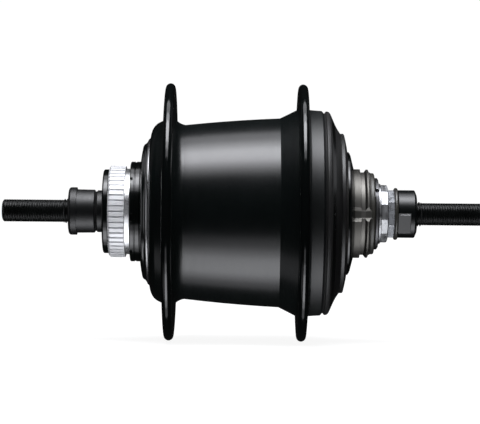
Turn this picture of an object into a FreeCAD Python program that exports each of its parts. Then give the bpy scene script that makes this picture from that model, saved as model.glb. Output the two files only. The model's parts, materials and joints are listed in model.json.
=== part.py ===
import FreeCAD, Part
import math
import os
import Sketcher

# Internal gear hub for a disc-brake rear wheel.
# Millimetres. Origin on the axle axis, midway between the outer nut faces.
# +X points to the sprocket side, +Z is up. Angles about X are measured from
# +Y towards +Z.

V = FreeCAD.Vector
X_AXIS = V(1, 0, 0)

doc = FreeCAD.newDocument("InternalGearHub")
sheet = doc.addObject("Spreadsheet::Sheet", "Dims")


class Dim(object):
    """A number that also carries the sheet expression it came from."""

    def __init__(self, v, e):
        self.v = float(v)
        self.e = e

    @staticmethod
    def of(o):
        return o if isinstance(o, Dim) else Dim(o, "(%.6f)" % float(o))

    def __add__(self, o):
        o = Dim.of(o)
        return Dim(self.v + o.v, "(%s + %s)" % (self.e, o.e))

    __radd__ = __add__

    def __sub__(self, o):
        o = Dim.of(o)
        return Dim(self.v - o.v, "(%s - %s)" % (self.e, o.e))

    def __rsub__(self, o):
        return Dim.of(o).__sub__(self)

    def __mul__(self, o):
        o = Dim.of(o)
        return Dim(self.v * o.v, "(%s * %s)" % (self.e, o.e))

    __rmul__ = __mul__

    def __truediv__(self, o):
        o = Dim.of(o)
        return Dim(self.v / o.v, "(%s / %s)" % (self.e, o.e))

    def __neg__(self):
        return Dim(-self.v, "(-%s)" % self.e)


def val(q):
    return q.v if isinstance(q, Dim) else float(q)


# ---------------------------------------------------------------- dimensions
ROWS = [
    # axle
    ("axle_len", 187.0, "axle, end to end"),
    ("axle_rr", 4.7625, "3/8 inch axle thread, outer radius"),
    ("axle_flat", 8.85, "across the two flats on each axle end"),
    ("axle_flat_x", 69.4, "flats start this far from the centre"),
    ("core_rr", 7.5, "thick middle of the axle, radius"),
    ("core_x0", -36.0, "thick middle starts"),
    ("core_x1", 50.0, "thick middle ends"),
    ("groove_rr", 5.6, "floor of the three sleeve grooves"),
    ("old_half", 67.5, "half of the over-nut width"),
    # running clearances
    ("run", 0.05, "radial running clearance"),
    # shell
    ("flange_rr", 50.0, "spoke flange radius"),
    ("flange_w", 3.6, "spoke flange thickness"),
    ("flange_xl", -28.28, "left flange centre plane"),
    ("flange_xr", 23.1, "right flange centre plane"),
    ("spoke_pcr", 46.4, "left spoke hole circle radius"),
    ("spoke_pcr_r", 45.6, "right spoke hole circle radius"),
    ("spoke_hr", 1.45, "spoke hole radius"),
    ("spokes", 18, "spoke holes per flange"),
    ("waist_rr", 33.87, "narrowest radius of the shell"),
    ("waist_xa", -22.4, "waist starts"),
    ("kink_x", 14.2, "cone starts"),
    ("kink_rr", 36.75, "radius at the start of the cone"),
    ("band_rr", 40.05, "right band of the shell"),
    ("shell_end", 31.1, "right end of the shell"),
    ("bore_l", 31.0, "left bore of the shell"),
    ("bore_m", 32.4, "middle bore of the shell"),
    ("bore_c", 35.0, "threaded seat of the right ball cup"),
    # gears
    ("mod", 0.7, "gear module"),
    ("z_ring", 72, "ring gear teeth"),
    ("z_sun_l", 36, "large sun teeth"),
    ("z_pl_s", 18, "planet teeth in mesh with the large sun and the ring"),
    ("z_sun_s", 30, "small sun teeth"),
    ("z_pl_l", 24, "planet teeth in mesh with the small sun"),
    ("thin", 0.08, "thinning of each tooth for backlash"),
    ("ctr", 18.9, "planet pin circle radius"),
    ("pin_rr", 3.0, "planet pin radius"),
    # bearings
    ("ball_rr", 2.38, "3/16 inch balls"),
    ("ball_gap", 0.05, "gap between a ball and its race"),
    ("lb_x", -47.0, "left bearing, ball plane"),
    ("lb_pr", 10.6, "left bearing, ball circle radius"),
    ("lb_n", 10, "left bearing, balls"),
    ("rb_x", 44.6, "right inner bearing, ball plane"),
    ("rb_pr", 11.6, "right inner bearing, ball circle radius"),
    ("rb_n", 11, "right inner bearing, balls"),
    ("ob_x", 33.5, "right outer bearing, ball plane"),
    ("ob_pr", 27.0, "right outer bearing, ball circle radius"),
    ("ob_n", 24, "right outer bearing, balls"),
    # roller clutch
    ("rc_race", 27.0, "roller clutch, inner radius of the outer race"),
    ("rc_roll", 2.5, "roller radius"),
    ("rc_pr", 24.47, "roller circle radius"),
    ("rc_flat", 21.85, "distance of the nine flats from the axis"),
    ("rc_n", 9, "rollers"),
    ("rc_lag", 5.0, "angle of a roller off the middle of its flat"),
    # driver and controls
    ("seat_rr", 17.27, "sprocket seat radius"),
    ("cap_seat_rr", 17.75, "seat of the small dust cap on the driver"),
    ("key_w", 5.5, "width of the three keyways at the sprocket seat"),
    ("key_floor_w", 2.6, "width of the keyway floor"),
    ("key_floor", 15.85, "radius of the keyway floor"),
    ("dogs", 8, "clutch arms and dogs"),
    ("arm_w", 4.6, "width of a clutch arm"),
    ("slot_w", 5.0, "width of a driver slot"),
    ("shift_deg", 48.0, "turn of the shift ring, four steps of 12"),
    ("slide_x", 4.2, "axial travel of the clutch ring"),
    # spline for the brake rotor
    ("spl_rr", 17.8, "spline, outer radius"),
    ("spl_root", 16.75, "spline, groove floor radius"),
    ("spl_n", 52, "spline teeth"),
    ("hex_af", 16.0, "right lock nut, across flats"),
]

NUM = {}
for row, (name, number, note) in enumerate(ROWS, start=1):
    sheet.set("A%d" % row, name)
    sheet.set("B%d" % row, "%.6g" % number)
    sheet.set("C%d" % row, note)
    sheet.setAlias("B%d" % row, name)
    NUM[name] = Dim(number, "Dims.%s" % name)
doc.recompute()


def D(name):
    return NUM[name]


def N(name):
    return NUM[name].v


RUN = D("run")
finished = []


# ------------------------------------------------------------------- helpers
def bind(obj, prop, q):
    """Set a size and bind it to the sheet when it comes from there."""
    if isinstance(q, Dim):
        obj.setExpression(prop, q.e)
    else:
        setattr(obj, prop, q)


def datum(sk, args, q):
    c = sk.addConstraint(Sketcher.Constraint(*(list(args) + [val(q)])))
    if isinstance(q, Dim):
        sk.setExpression("Constraints[%d]" % c, q.e)


def new_body(name):
    body = doc.addObject("PartDesign::Body", name)
    body.Label = name
    try:
        body.AllowCompound = True
    except Exception:
        pass
    return body


def base_plane(body, role):
    for o in body.Origin.OriginFeatures:
        if o.Role == role:
            return o
    raise RuntimeError("no plane %s" % role)


def attach(body, sk, role, offset=None):
    sk.AttachmentSupport = [(base_plane(body, role), "")]
    sk.MapMode = "FlatFace"
    if offset is not None:
        sk.AttachmentOffset = offset


def outline(sk, pts, arcs=None):
    """Closed outline through pts; arcs maps a segment's index to the point
    its arc passes through."""
    arcs = arcs or {}
    n = len(pts)
    first = len(sk.Geometry)
    start, end = [], []
    for i in range(n):
        a, b = pts[i], pts[(i + 1) % n]
        pa, pb = V(val(a[0]), val(a[1]), 0), V(val(b[0]), val(b[1]), 0)
        if i in arcs:
            m = arcs[i]
            pm = V(val(m[0]), val(m[1]), 0)
            ccw = ((pm - pa).cross(pb - pm)).z > 0
            if ccw:
                sk.addGeometry(Part.Arc(pa, pm, pb), False)
            else:
                sk.addGeometry(Part.Arc(pb, pm, pa), False)
            start.append(1 if ccw else 2)
            end.append(2 if ccw else 1)
        else:
            sk.addGeometry(Part.LineSegment(pa, pb), False)
            start.append(1)
            end.append(2)
    for i in range(n):
        j = (i + 1) % n
        sk.addConstraint(Sketcher.Constraint("Coincident", first + i, end[i], first + j, start[j]))
    for i in range(n):
        datum(sk, ["DistanceX", -1, 1, first + i, start[i]], pts[i][0])
        if abs(val(pts[i][1])) < 1e-9:
            sk.addConstraint(Sketcher.Constraint("PointOnObject", first + i, start[i], -1))
        else:
            datum(sk, ["DistanceY", -1, 1, first + i, start[i]], pts[i][1])
    for i in arcs:
        g = sk.Geometry[first + i]
        sk.addConstraint(Sketcher.Constraint("DistanceY", -1, 1, first + i, 3, g.Center.y))


def turned(name, pts, arcs=None, body=None):
    """A turned piece: a half section in the XZ plane revolved about X."""
    body = body or new_body(name)
    sk = body.newObject("Sketcher::SketchObject", name + "_section")
    attach(body, sk, "XZ_Plane")
    outline(sk, pts, arcs)
    rev = body.newObject("PartDesign::Revolution", name + "_turned")
    rev.Profile = sk
    rev.ReferenceAxis = (sk, ["H_Axis"])
    rev.Angle = 360
    sk.Visibility = False
    body.Tip = rev
    return body


def pattern(body, feat, sk, axis, count):
    pat = body.newObject("PartDesign::PolarPattern", feat.Name + "_around")
    pat.Originals = [feat]
    pat.Axis = (sk, [axis])
    pat.Angle = 360
    bind(pat, "Occurrences", count) if isinstance(count, Dim) else setattr(pat, "Occurrences", int(count))
    body.Tip = pat
    return pat


def sector(body, name, kind, x0, x1, r0, r1, phi, width, count=1):
    """Part of a turning: a rectangle x0..x1, r0..r1 swept by width degrees,
    centred on the angle phi, and repeated count times around X."""
    sk = body.newObject("Sketcher::SketchObject", name + "_sketch")
    attach(body, sk, "XZ_Plane",
           FreeCAD.Placement(V(0, 0, 0), FreeCAD.Rotation(V(1, 0, 0), phi - 90.0)))
    outline(sk, [(x0, r0), (x1, r0), (x1, r1), (x0, r1)])
    feat = body.newObject("PartDesign::%s" % kind, name)
    feat.Profile = sk
    feat.ReferenceAxis = (sk, ["H_Axis"])
    feat.Midplane = True
    feat.Angle = val(width)
    body.Tip = feat
    if val(count) > 1:
        return pattern(body, feat, sk, "H_Axis", count)
    return feat


def race(body, name, x, r, ball):
    """Groove for a ball race: a circle turned about X and cut away."""
    sk = body.newObject("Sketcher::SketchObject", name + "_sketch")
    attach(body, sk, "XZ_Plane")
    sk.addGeometry(Part.Circle(V(val(x), val(r), 0), V(0, 0, 1), val(ball)), False)
    datum(sk, ["DistanceX", -1, 1, 0, 3], x)
    datum(sk, ["DistanceY", -1, 1, 0, 3], r)
    datum(sk, ["Radius", 0], ball)
    feat = body.newObject("PartDesign::Groove", name)
    feat.Profile = sk
    feat.ReferenceAxis = (sk, ["H_Axis"])
    feat.Angle = 360
    body.Tip = feat
    return feat


def cross(body, name, kind, x0, x1, pts, phi=0.0, count=1, circle=None):
    """A pad or pocket along X between x0 and x1. pts are (radial, tangential)
    corners, or circle is (radial, tangential, radius), at the angle phi."""
    mid = (val(x0) + val(x1)) / 2.0
    sk = body.newObject("Sketcher::SketchObject", name + "_sketch")
    attach(body, sk, "YZ_Plane",
           FreeCAD.Placement(V(0, 0, mid), FreeCAD.Rotation(V(0, 0, 1), phi)))
    if circle:
        sk.addGeometry(Part.Circle(V(val(circle[0]), val(circle[1]), 0), V(0, 0, 1), val(circle[2])), False)
        datum(sk, ["DistanceX", -1, 1, 0, 3], circle[0])
        if abs(val(circle[1])) < 1e-9:
            sk.addConstraint(Sketcher.Constraint("PointOnObject", 0, 3, -1))
        else:
            datum(sk, ["DistanceY", -1, 1, 0, 3], circle[1])
        datum(sk, ["Radius", 0], circle[2])
    else:
        outline(sk, pts)
    feat = body.newObject("PartDesign::%s" % kind, name)
    feat.Profile = sk
    feat.Midplane = True
    feat.Length = abs(val(x1) - val(x0))
    body.Tip = feat
    if val(count) > 1:
        return pattern(body, feat, sk, "N_Axis", count)
    return feat


def soften(body, name, rings, size, kind="Fillet"):
    """Round or chamfer the circular edges named by (x, radius)."""
    doc.recompute()
    base = body.Tip
    names = []
    for i, e in enumerate(base.Shape.Edges, start=1):
        c = e.Curve
        if not isinstance(c, Part.Circle):
            continue
        for (x, r) in rings:
            if abs(c.Center.x - val(x)) < 1e-3 and abs(c.Radius - val(r)) < 1e-3 \
                    and abs(c.Axis.x) > 0.999 and math.hypot(c.Center.y, c.Center.z) < 1e-3:
                names.append("Edge%d" % i)
    if not names:
        raise RuntimeError("no edges for %s" % name)
    feat = body.newObject("PartDesign::%s" % kind, name)
    feat.Base = (base, sorted(set(names)))
    if kind == "Fillet":
        bind(feat, "Radius", size)
    else:
        bind(feat, "Size", size)
    body.Tip = feat
    return feat


def done(obj, name):
    obj.Label = name
    finished.append((name, obj))
    return obj


def boolean(kind, name, a, b):
    f = doc.addObject("Part::%s" % kind, name)
    f.Base = a
    f.Tool = b
    return f


def fuse(name, objs):
    f = doc.addObject("Part::MultiFuse", name)
    f.Shapes = objs
    return f


def polar(r, deg):
    return V(0, val(r) * math.cos(math.radians(deg)), val(r) * math.sin(math.radians(deg)))


# --------------------------------------------------------------- gear outline
def inv(a):
    return math.tan(a) - a


def tooth_wire(z, module, extra, r_tip, r_root, phase):
    """Closed outline of a toothed wheel in the YZ plane. extra is added to
    each tooth's thickness on the pitch circle; phase is the angle of one
    tooth's middle, in degrees."""
    rp = module * z / 2.0
    rb = rp * math.cos(math.radians(20.0))
    half_p = (math.pi * module / 2.0 + extra) / 2.0 / rp

    def half(r):
        a = math.acos(min(1.0, rb / r))
        return half_p + inv(math.radians(20.0)) - inv(a)

    r_in = max(r_root, rb * 1.001)
    radii = [r_in, (r_in + r_tip) / 2.0, r_tip]
    edges = []

    def pt(r, a):
        return V(0, r * math.cos(a), r * math.sin(a))

    step = 2.0 * math.pi / z
    for k in range(z):
        c = math.radians(phase) + k * step
        left = [pt(r, c - half(r)) for r in radii]
        right = [pt(r, c + half(r)) for r in radii]
        a_root = half(r_in)
        if r_root < r_in - 1e-6:
            edges.append(Part.LineSegment(pt(r_root, c - a_root), left[0]).toShape())
        edges.append(Part.Arc(left[0], left[1], left[2]).toShape())
        edges.append(Part.Arc(left[2], pt(r_tip, c), right[2]).toShape())
        edges.append(Part.Arc(right[2], right[1], right[0]).toShape())
        if r_root < r_in - 1e-6:
            edges.append(Part.LineSegment(right[0], pt(r_root, c + a_root)).toShape())
        edges.append(Part.Arc(pt(r_root, c + a_root), pt(r_root, c + step / 2.0),
                              pt(r_root, c + step - a_root)).toShape())
    return Part.Wire(edges)


def saw_wire(n, r_low, r_high, steep_deg):
    """Ratchet outline: each tooth rises at once from r_low to r_high at its
    steep side and falls back over the rest of the pitch."""
    pts = []
    step = 360.0 / n
    for k in range(n):
        a0 = math.radians(steep_deg + k * step)
        for j in range(4):
            t = j / 4.0
            r = r_high + (r_low - r_high) * t
            a = a0 + math.radians(step) * t
            pts.append(V(0, r * math.cos(a), r * math.sin(a)))
        a1 = math.radians(steep_deg + (k + 1) * step)
        pts.append(V(0, r_low * math.cos(a1), r_low * math.sin(a1)))
    pts.append(pts[0])
    return Part.makePolygon(pts)


def flat_extrusion(name, wire, x0, x1):
    """Prism of a closed wire in the YZ plane between x0 and x1."""
    prof = doc.addObject("Part::Feature", name + "_outline")
    prof.Shape = Part.Face(wire)
    prof.Placement = FreeCAD.Placement(V(val(x0), 0, 0), FreeCAD.Rotation())
    ext = doc.addObject("Part::Extrusion", name)
    ext.Base = prof
    ext.DirMode = "Custom"
    ext.Dir = X_AXIS
    ext.LengthFwd = val(x1) - val(x0)
    ext.Solid = True
    return ext


def ring_solid(name, x0, x1, r0, r1):
    return turned(name, [(x0, r0), (x1, r0), (x1, r1), (x0, r1)])


def balls(name, x, pr, r, n, phase=0.0):
    objs = []
    for k in range(int(val(n))):
        s = doc.addObject("Part::Sphere", "%s_%02d" % (name, k + 1))
        bind(s, "Radius", r)
        s.Placement = FreeCAD.Placement(V(val(x), 0, 0) + polar(pr, phase + 360.0 * k / val(n)),
                                        FreeCAD.Rotation())
        objs.append(s)
    c = doc.addObject("Part::Compound", name)
    c.Links = objs
    return done(c, name)


def ball_cage(name, x, pr, r, n, slope, half_len, phase=0.0):
    """Conical band through the ball circle with one round pocket per ball."""
    s = math.sqrt(0.5)
    ux, ur = s, s * slope
    nx, nr = -ur, ux
    th = 0.4
    xc, rc = val(x), val(pr)
    band = turned(name + "_band", [
        (xc - ux * half_len - nx * th, rc - ur * half_len - nr * th),
        (xc + ux * half_len - nx * th, rc + ur * half_len - nr * th),
        (xc + ux * half_len + nx * th, rc + ur * half_len + nr * th),
        (xc - ux * half_len + nx * th, rc - ur * half_len + nr * th)])
    pockets = []
    for k in range(int(val(n))):
        a = phase + 360.0 * k / val(n)
        through = V(nx, 0, 0) + polar(nr, a)
        p = doc.addObject("Part::Cylinder", "%s_pocket_%02d" % (name, k + 1))
        bind(p, "Radius", r + 0.07)
        p.Height = 4.0
        p.Placement = FreeCAD.Placement(V(xc, 0, 0) + polar(pr, a) - through * 2.0,
                                        FreeCAD.Rotation(V(0, 0, 1), through))
        pockets.append(p)
    c = doc.addObject("Part::Compound", name + "_pockets")
    c.Links = pockets
    return done(boolean("Cut", name, band, c), name)


# ====================================================================== axle
AX = D("axle_rr")
CORE = D("core_rr")
end = D("axle_len") / 2.0

OLD = D("old_half")
AFX = D("axle_flat_x")
axle = turned("axle", [
    (-end, 0), (end, 0), (end, AX - 0.6), (end - 0.6, AX),
    (AFX, AX), (AFX, AX - 0.3), (AFX - 0.7, AX - 0.3), (AFX - 0.7, AX), (OLD - 0.1, AX), (OLD - 0.1, 4.3),
    (OLD - 0.6, 4.3), (OLD - 0.6, AX), (56.2, AX), (56.2, D("groove_rr")),
    (D("core_x1"), D("groove_rr")), (D("core_x1"), CORE),
    (-34.35, CORE), (-34.35, CORE - 0.5), (-35.45, CORE - 0.5), (-35.45, CORE),
    (D("core_x0"), CORE), (D("core_x0"), AX), (0.6 - OLD, AX), (0.6 - OLD, 4.3), (0.1 - OLD, 4.3),
    (0.1 - OLD, AX), (0.7 - AFX, AX), (0.7 - AFX, AX - 0.3), (-AFX, AX - 0.3), (-AFX, AX),
    (-end + 0.6, AX), (-end, AX - 0.6)])
# three wide grooves for the fingers of the control sleeve
sector(axle, "sleeve_grooves", "Groove", -19.0, D("core_x1") + 0.5, D("groove_rr"), CORE + 1.0, 30.0, 72.0, 3)
# a narrow keyway in each land guides the cam pusher
sector(axle, "pusher_keyways", "Groove", 14.5, 36.0, 6.3, CORE + 1.0, 90.0, 10.0, 3)
# two flats on each end
for side in (-1, 1):
    x0, x1 = sorted((side * N("axle_flat_x"), side * (N("axle_len") / 2.0 + 1.0)))
    for k, phi in enumerate((90.0, 270.0)):
        cross(axle, "end_flat_%s_%d" % ("r" if side > 0 else "l", k), "Pocket", x0, x1,
              [(D("axle_flat") / 2.0, -6.0), (6.0, -6.0), (6.0, 6.0), (D("axle_flat") / 2.0, 6.0)], phi)

# pawl seats in the lands: a floor and a round heel
HX, HV = 1.2, 6.45            # pawl pivot: across the land, out from the axis


def pawl_seat(body, name, x0, x1, phi):
    cross(body, name + "_slot", "Pocket", x0, x1,
          [(5.8, -2.05), (8.0, -2.05), (8.0, HX), (5.8, HX)], phi)
    cross(body, name + "_heel", "Pocket", x0, x1, None, phi, 1, (HV, HX, 0.8))
    cross(body, name + "_mouth", "Pocket", x0, x1,
          [(HV, 0.0), (8.0, 0.0), (8.0, HX + 0.8), (HV, HX + 0.8)], phi)


pawl_seat(axle, "small_sun_seat", -17.5, -11.0, 90.0)
pawl_seat(axle, "large_sun_seat", -6.5, 1.5, 210.0)
done(axle, "axle")


def sun_pawl(name, x0, x1, phi, lift):
    """A pawl in the axle: a round heel and a tapered nose, lifted by lift
    degrees about its pivot."""
    body = new_body(name)
    cross(body, name + "_nose", "Pad", x0, x1,
          [(7.2, HX), (7.2, -1.9), (6.46, -1.49), (5.9, 0.2), (5.75, HX)], 0.0)
    cross(body, name + "_heel", "Pad", x0, x1, None, 0.0, 1, (HV, HX, 0.75))
    pivot = V(0, HV, HX)
    turn = FreeCAD.Rotation(X_AXIS, lift)
    around = FreeCAD.Rotation(X_AXIS, phi)
    body.Placement = FreeCAD.Placement(around.multVec(pivot - turn.multVec(pivot)), around.multiply(turn))
    return done(body, name)


# the modelled gear is the low one: the large sun is held, the small one free
sun_pawl("small_sun_pawl", -17.35, -11.15, 90.0, 0.0)
sun_pawl("large_sun_pawl", -6.35, 1.35, 210.0, 20.0)

# =================================================================== left side
T = AX + 0.02                 # bore of the pieces threaded on the axle

left_nut = turned("left_end_nut", [
    (-D("old_half"), T + 0.5), (-D("old_half"), 9.25), (-64.4, 9.25), (-64.4, 8.46),
    (-57.55, 8.37), (-57.3, 8.1), (-57.3, 7.7), (-56.8, 7.7), (-56.8, T), (-D("old_half") + 0.5, T)])
soften(left_nut, "left_nut_round", [(-D("old_half"), 9.25)], 1.1)
cross(left_nut, "left_nut_pin_holes", "Pocket", -68.0, -65.4, None, 0.0, 2, (7.0, 0.0, 0.9))
done(left_nut, "left_end_nut")

done(ring_solid("left_lock_washer", -56.8, -56.5, T, 7.7), "left_lock_washer")
lln = turned("left_lock_nut", [(-56.5, T), (-56.5, 8.15), (-54.1, 8.15), (-54.1, T)])
soften(lln, "left_lock_nut_edges", [(-56.5, 8.15), (-54.1, 8.15)], 0.25, "Chamfer")
done(lln, "left_lock_nut")

ldc = turned("left_dust_cap", [
    (-54.0, 6.4), (-54.0, 16.3), (-51.8, 16.3), (-51.8, 15.3), (-52.9, 15.3), (-52.9, 6.4)])
soften(ldc, "left_dust_cap_round", [(-54.0, 16.3)], 0.7)
soften(ldc, "left_dust_cap_lip", [(-51.8, 16.3)], 0.25)
done(ldc, "left_dust_cap")

left_cone = turned("left_cone", [
    (-54.1, T), (-54.1, 6.4), (-52.0, 6.4), (-52.0, 10.9), (-50.0, 10.9), (-49.5, 11.4),
    (-44.9, 6.8), (-44.5, 6.4), (-44.5, T)])
race(left_cone, "left_cone_race", D("lb_x"), D("lb_pr"), D("ball_rr") + D("ball_gap"))
done(left_cone, "left_cone")

left_cup = turned("left_ball_cup", [
    (-50.5, 13.4), (-50.5, 14.2), (-43.0, 14.2), (-43.0, 9.7), (-44.4, 9.7), (-48.1, 13.4)])
race(left_cup, "left_cup_race", D("lb_x"), D("lb_pr"), D("ball_rr") + D("ball_gap"))
done(left_cup, "left_ball_cup")

left_seal = turned("left_seal", [(-51.45, 11.6), (-51.45, 14.2), (-50.5, 14.2), (-50.5, 13.0),
                                 (-50.9, 12.6), (-50.9, 11.6)])
done(left_seal, "left_seal")

balls("left_balls", D("lb_x"), D("lb_pr"), D("ball_rr"), D("lb_n"), 5.0)
ball_cage("left_ball_cage", D("lb_x"), D("lb_pr"), D("ball_rr"), D("lb_n"), -1.0, 3.0, 5.0)

done(ring_solid("carrier_clip", -35.4, -34.4, CORE - 0.5, 9.4), "carrier_clip")

# left cover: domed wall with a long boss for the ball cup and the rotor mount
left_cover = turned("left_cover", [
    (-51.6, 14.2), (-51.6, 15.6), (-39.5, 15.6), (-39.5, 19.4), (-39.3, 21.4), (-39.03, 23.3), (-38.7, 25.0),
    (-38.1, 26.25), (-37.6, 26.55), (-37.2, 27.0), (-36.8, 27.65), (-36.1, 28.55), (-35.6, 28.65),
    (-35.6, 27.5), (-33.6, 27.5), (-33.6, 25.6),
    (-35.0, 24.4), (-36.5, 21.0), (-37.2, 17.0), (-37.2, 12.6), (-43.0, 12.6), (-43.0, 14.2)],
    {6: (-38.48, 25.75), 10: (-36.5, 28.22)})
done(left_cover, "left_cover")

# rotor mount: a fine spline with a plain neck
mount = turned("rotor_mount_blank", [
    (-51.7, 15.6), (-51.7, 17.0), (-51.0, D("spl_rr")), (-45.3, D("spl_rr")), (-45.3, 16.65),
    (-43.4, 16.65), (-43.4, 15.6)])
soften(mount, "rotor_mount_edge", [(-45.3, D("spl_rr"))], 0.25, "Chamfer")
z = int(N("spl_n"))
pts = []
gap = 360.0 / z
for k in range(z):
    c = 90.0 + k * gap
    pts.append(polar(N("spl_rr") + 1.0, c - 0.20 * gap))
    pts.append(polar(N("spl_root"), c - 0.10 * gap))
    pts.append(polar(N("spl_root"), c + 0.10 * gap))
    pts.append(polar(N("spl_rr") + 1.0, c + 0.20 * gap))
faces = []
for k in range(z):
    q = pts[4 * k:4 * k + 4]
    faces.append(Part.Face(Part.makePolygon(q + [q[0]])))
teeth = doc.addObject("Part::Feature", "rotor_spline_gaps_outline")
teeth.Shape = Part.makeCompound(faces)
teeth.Placement = FreeCAD.Placement(V(-52.5, 0, 0), FreeCAD.Rotation())
gaps = doc.addObject("Part::Extrusion", "rotor_spline_gaps")
gaps.Base = teeth
gaps.DirMode = "Custom"
gaps.Dir = X_AXIS
gaps.LengthFwd = 52.5 - 45.55
gaps.Solid = True
done(boolean("Cut", "rotor_mount", mount, gaps), "rotor_mount")

lock = turned("rotor_lock_ring", [
    (-43.4, 15.6), (-43.4, 19.15), (-43.15, 19.4), (-41.75, 19.4), (-41.6, 19.05), (-41.3, 19.05),
    (-41.15, 19.4), (-39.7, 19.4), (-39.5, 19.2), (-39.5, 15.6)])
cross(lock, "lock_ring_slots", "Pocket", -43.5, -42.2,
      [(18.5, -1.5), (20.0, -1.5), (20.0, 1.5), (18.5, 1.5)], 97.0, 8)
done(lock, "rotor_lock_ring")

# ====================================================================== shell
FW = D("flange_w") / 2.0
FR = D("flange_rr")
XL, XR = D("flange_xl"), D("flange_xr")
shell = turned("hub_shell", [
    (-35.6, 27.5), (-35.6, 28.7), (-35.8, 28.7), (-35.8, 29.3),   # left mouth
    (-35.55, 30.6), (-35.2, 31.75), (-33.0, 34.5),      # shoulder
    (XL - FW, 36.0), (XL - FW, FR - FW), (XL + FW, FR - FW),
    (XL + FW, 36.2), (D("waist_xa"), D("waist_rr")),
    (D("kink_x"), D("kink_rr")),
    (XR - FW, 40.3), (XR - FW, FR - FW), (XR + FW, FR - FW),
    (XR + FW, D("band_rr") + 0.1), (30.3, 39.8), (30.75, 39.35), (D("shell_end"), 38.9),
    (D("shell_end"), D("bore_c")), (20.0, D("bore_c")), (20.0, D("bore_m")),
    (-12.0, D("bore_m")), (-12.0, D("bore_l")), (-33.4, D("bore_l")), (-33.4, 27.5)],
    {5: (-34.2, 33.42), 8: (XL, FR), 10: (-24.6, 34.63), 11: (-4.1, 35.62), 14: (XR, FR)})
soften(shell, "left_flange_foot_out", [(XL - FW, 36.0)], 1.0)
soften(shell, "left_flange_foot_in", [(XL + FW, 36.2)], 0.8)
soften(shell, "cone_foot", [(XR - FW, 40.3)], 0.4)
soften(shell, "right_flange_foot_out", [(XR + FW, D("band_rr") + 0.1)], 1.2)
cross(shell, "spoke_holes_left", "Pocket", XL - FW - 1.0, XL + FW + 1.0, None, 0.0, D("spokes"),
      (D("spoke_pcr"), 0.0, D("spoke_hr")))
cross(shell, "spoke_holes_right", "Pocket", XR - FW - 1.0, XR + FW + 1.0, None, 10.0, D("spokes"),
      (D("spoke_pcr_r"), 0.0, D("spoke_hr")))
done(shell, "hub_shell")

cup = turned("right_ball_cup", [
    (25.0, 31.5), (25.0, D("bore_c")), (31.1, D("bore_c")), (31.1, 38.7), (31.5, 38.95), (31.9, 39.5),
    (32.35, 39.64), (33.1, 39.4), (33.55, 38.9), (33.9, 38.2), (34.6, 36.6), (35.4, 34.75),
    (36.2, 33.2), (37.0, 31.95), (37.4, 31.35), (37.4, 30.9), (34.9, 30.9), (34.9, 29.6),
    (34.4, 29.6), (30.2, 25.4), (29.0, 25.4), (29.0, 31.5)])
race(cup, "right_cup_race", D("ob_x"), D("ob_pr"), D("ball_rr") + D("ball_gap"))
done(cup, "right_ball_cup")

cap = turned("outer_dust_cap", [
    (35.2, 30.0), (35.2, 30.9), (37.45, 30.9), (37.7, 31.0), (38.75, 31.0), (39.05, 30.65),
    (39.4, 29.2), (39.95, 26.6), (40.2, 24.5), (40.0, 24.2), (39.45, 24.2), (39.1, 26.6), (38.3, 29.9), (37.6, 30.0)])
done(cap, "outer_dust_cap")

done(ring_solid("clutch_race", -33.4, -24.4, D("rc_race"), D("bore_l")), "clutch_race")

saw = flat_extrusion("ratchet_teeth", saw_wire(24, 29.4, 30.6, 60.0 - 7.3), 4.0, 13.0)
rat = ring_solid("ratchet_blank", 4.6, 12.4, 26.0, D("bore_m"))
done(boolean("Cut", "ratchet_ring", rat, saw), "ratchet_ring")

# ===================================================================== gears
M = N("mod")
TH = N("thin")
CTR = N("ctr")

zr = int(N("z_ring"))
ring_blank = turned("ring_gear_blank", [
    (-8.9, 24.0), (-8.9, 28.4), (-8.3, 29.0), (24.4, 29.0), (24.4, 24.6),
    (3.8, 24.6), (3.8, 24.0)])
sector(ring_blank, "ring_splines", "Revolution", 15.6, 20.6, 20.6, 24.8, 90.0 + 22.5, 30.0, D("dogs"))
# the eight splines are separate inward lugs; clutch arms pass between them
RPX, RPV = 3.4, 26.9          # ring pawl pivot
for k, phi in enumerate((60.0, 240.0)):
    cross(ring_blank, "ring_pawl_slot_%d" % k, "Pocket", 4.8, 12.2,
          [(25.85, -4.1), (30.0, -4.1), (30.0, RPX), (25.85, RPX)], phi)
    cross(ring_blank, "ring_pawl_heel_%d" % k, "Pocket", 4.8, 12.2, None, phi, 1, (RPV, RPX, 1.3))
    cross(ring_blank, "ring_pawl_mouth_%d" % k, "Pocket", 4.8, 12.2,
          [(RPV, 0.0), (30.0, 0.0), (30.0, RPX + 1.3), (RPV, RPX + 1.3)], phi)
ring_teeth = flat_extrusion("ring_gear_spaces",
                            tooth_wire(zr, M, TH, M * zr / 2.0 + 1.25 * M, M * zr / 2.0 - 0.6 * M, 92.5),
                            -9.5, 4.4)
done(boolean("Cut", "ring_gear", ring_blank, ring_teeth), "ring_gear")

for k, phi in enumerate((60.0, 240.0), start=1):
    name = "ring_pawl_%d" % k
    pawl = new_body(name)
    cross(pawl, name + "_nose", "Pad", 4.95, 12.05,
          [(28.15, RPX), (28.2, -3.8), (27.44, -3.6), (26.05, -2.2), (25.97, 0.0), (25.97, RPX)], 0.0)
    cross(pawl, name + "_heel", "Pad", 4.95, 12.05, None, 0.0, 1, (RPV, RPX, 1.25))
    pawl.Placement = FreeCAD.Placement(V(0, 0, 0), FreeCAD.Rotation(X_AXIS, phi))
    done(pawl, name)


def external_gear(name, zz, x0, x1, phase):
    rp = M * zz / 2.0
    return flat_extrusion(name, tooth_wire(zz, M, -TH, rp + M, rp - 1.25 * M, phase), x0, x1)


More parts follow.
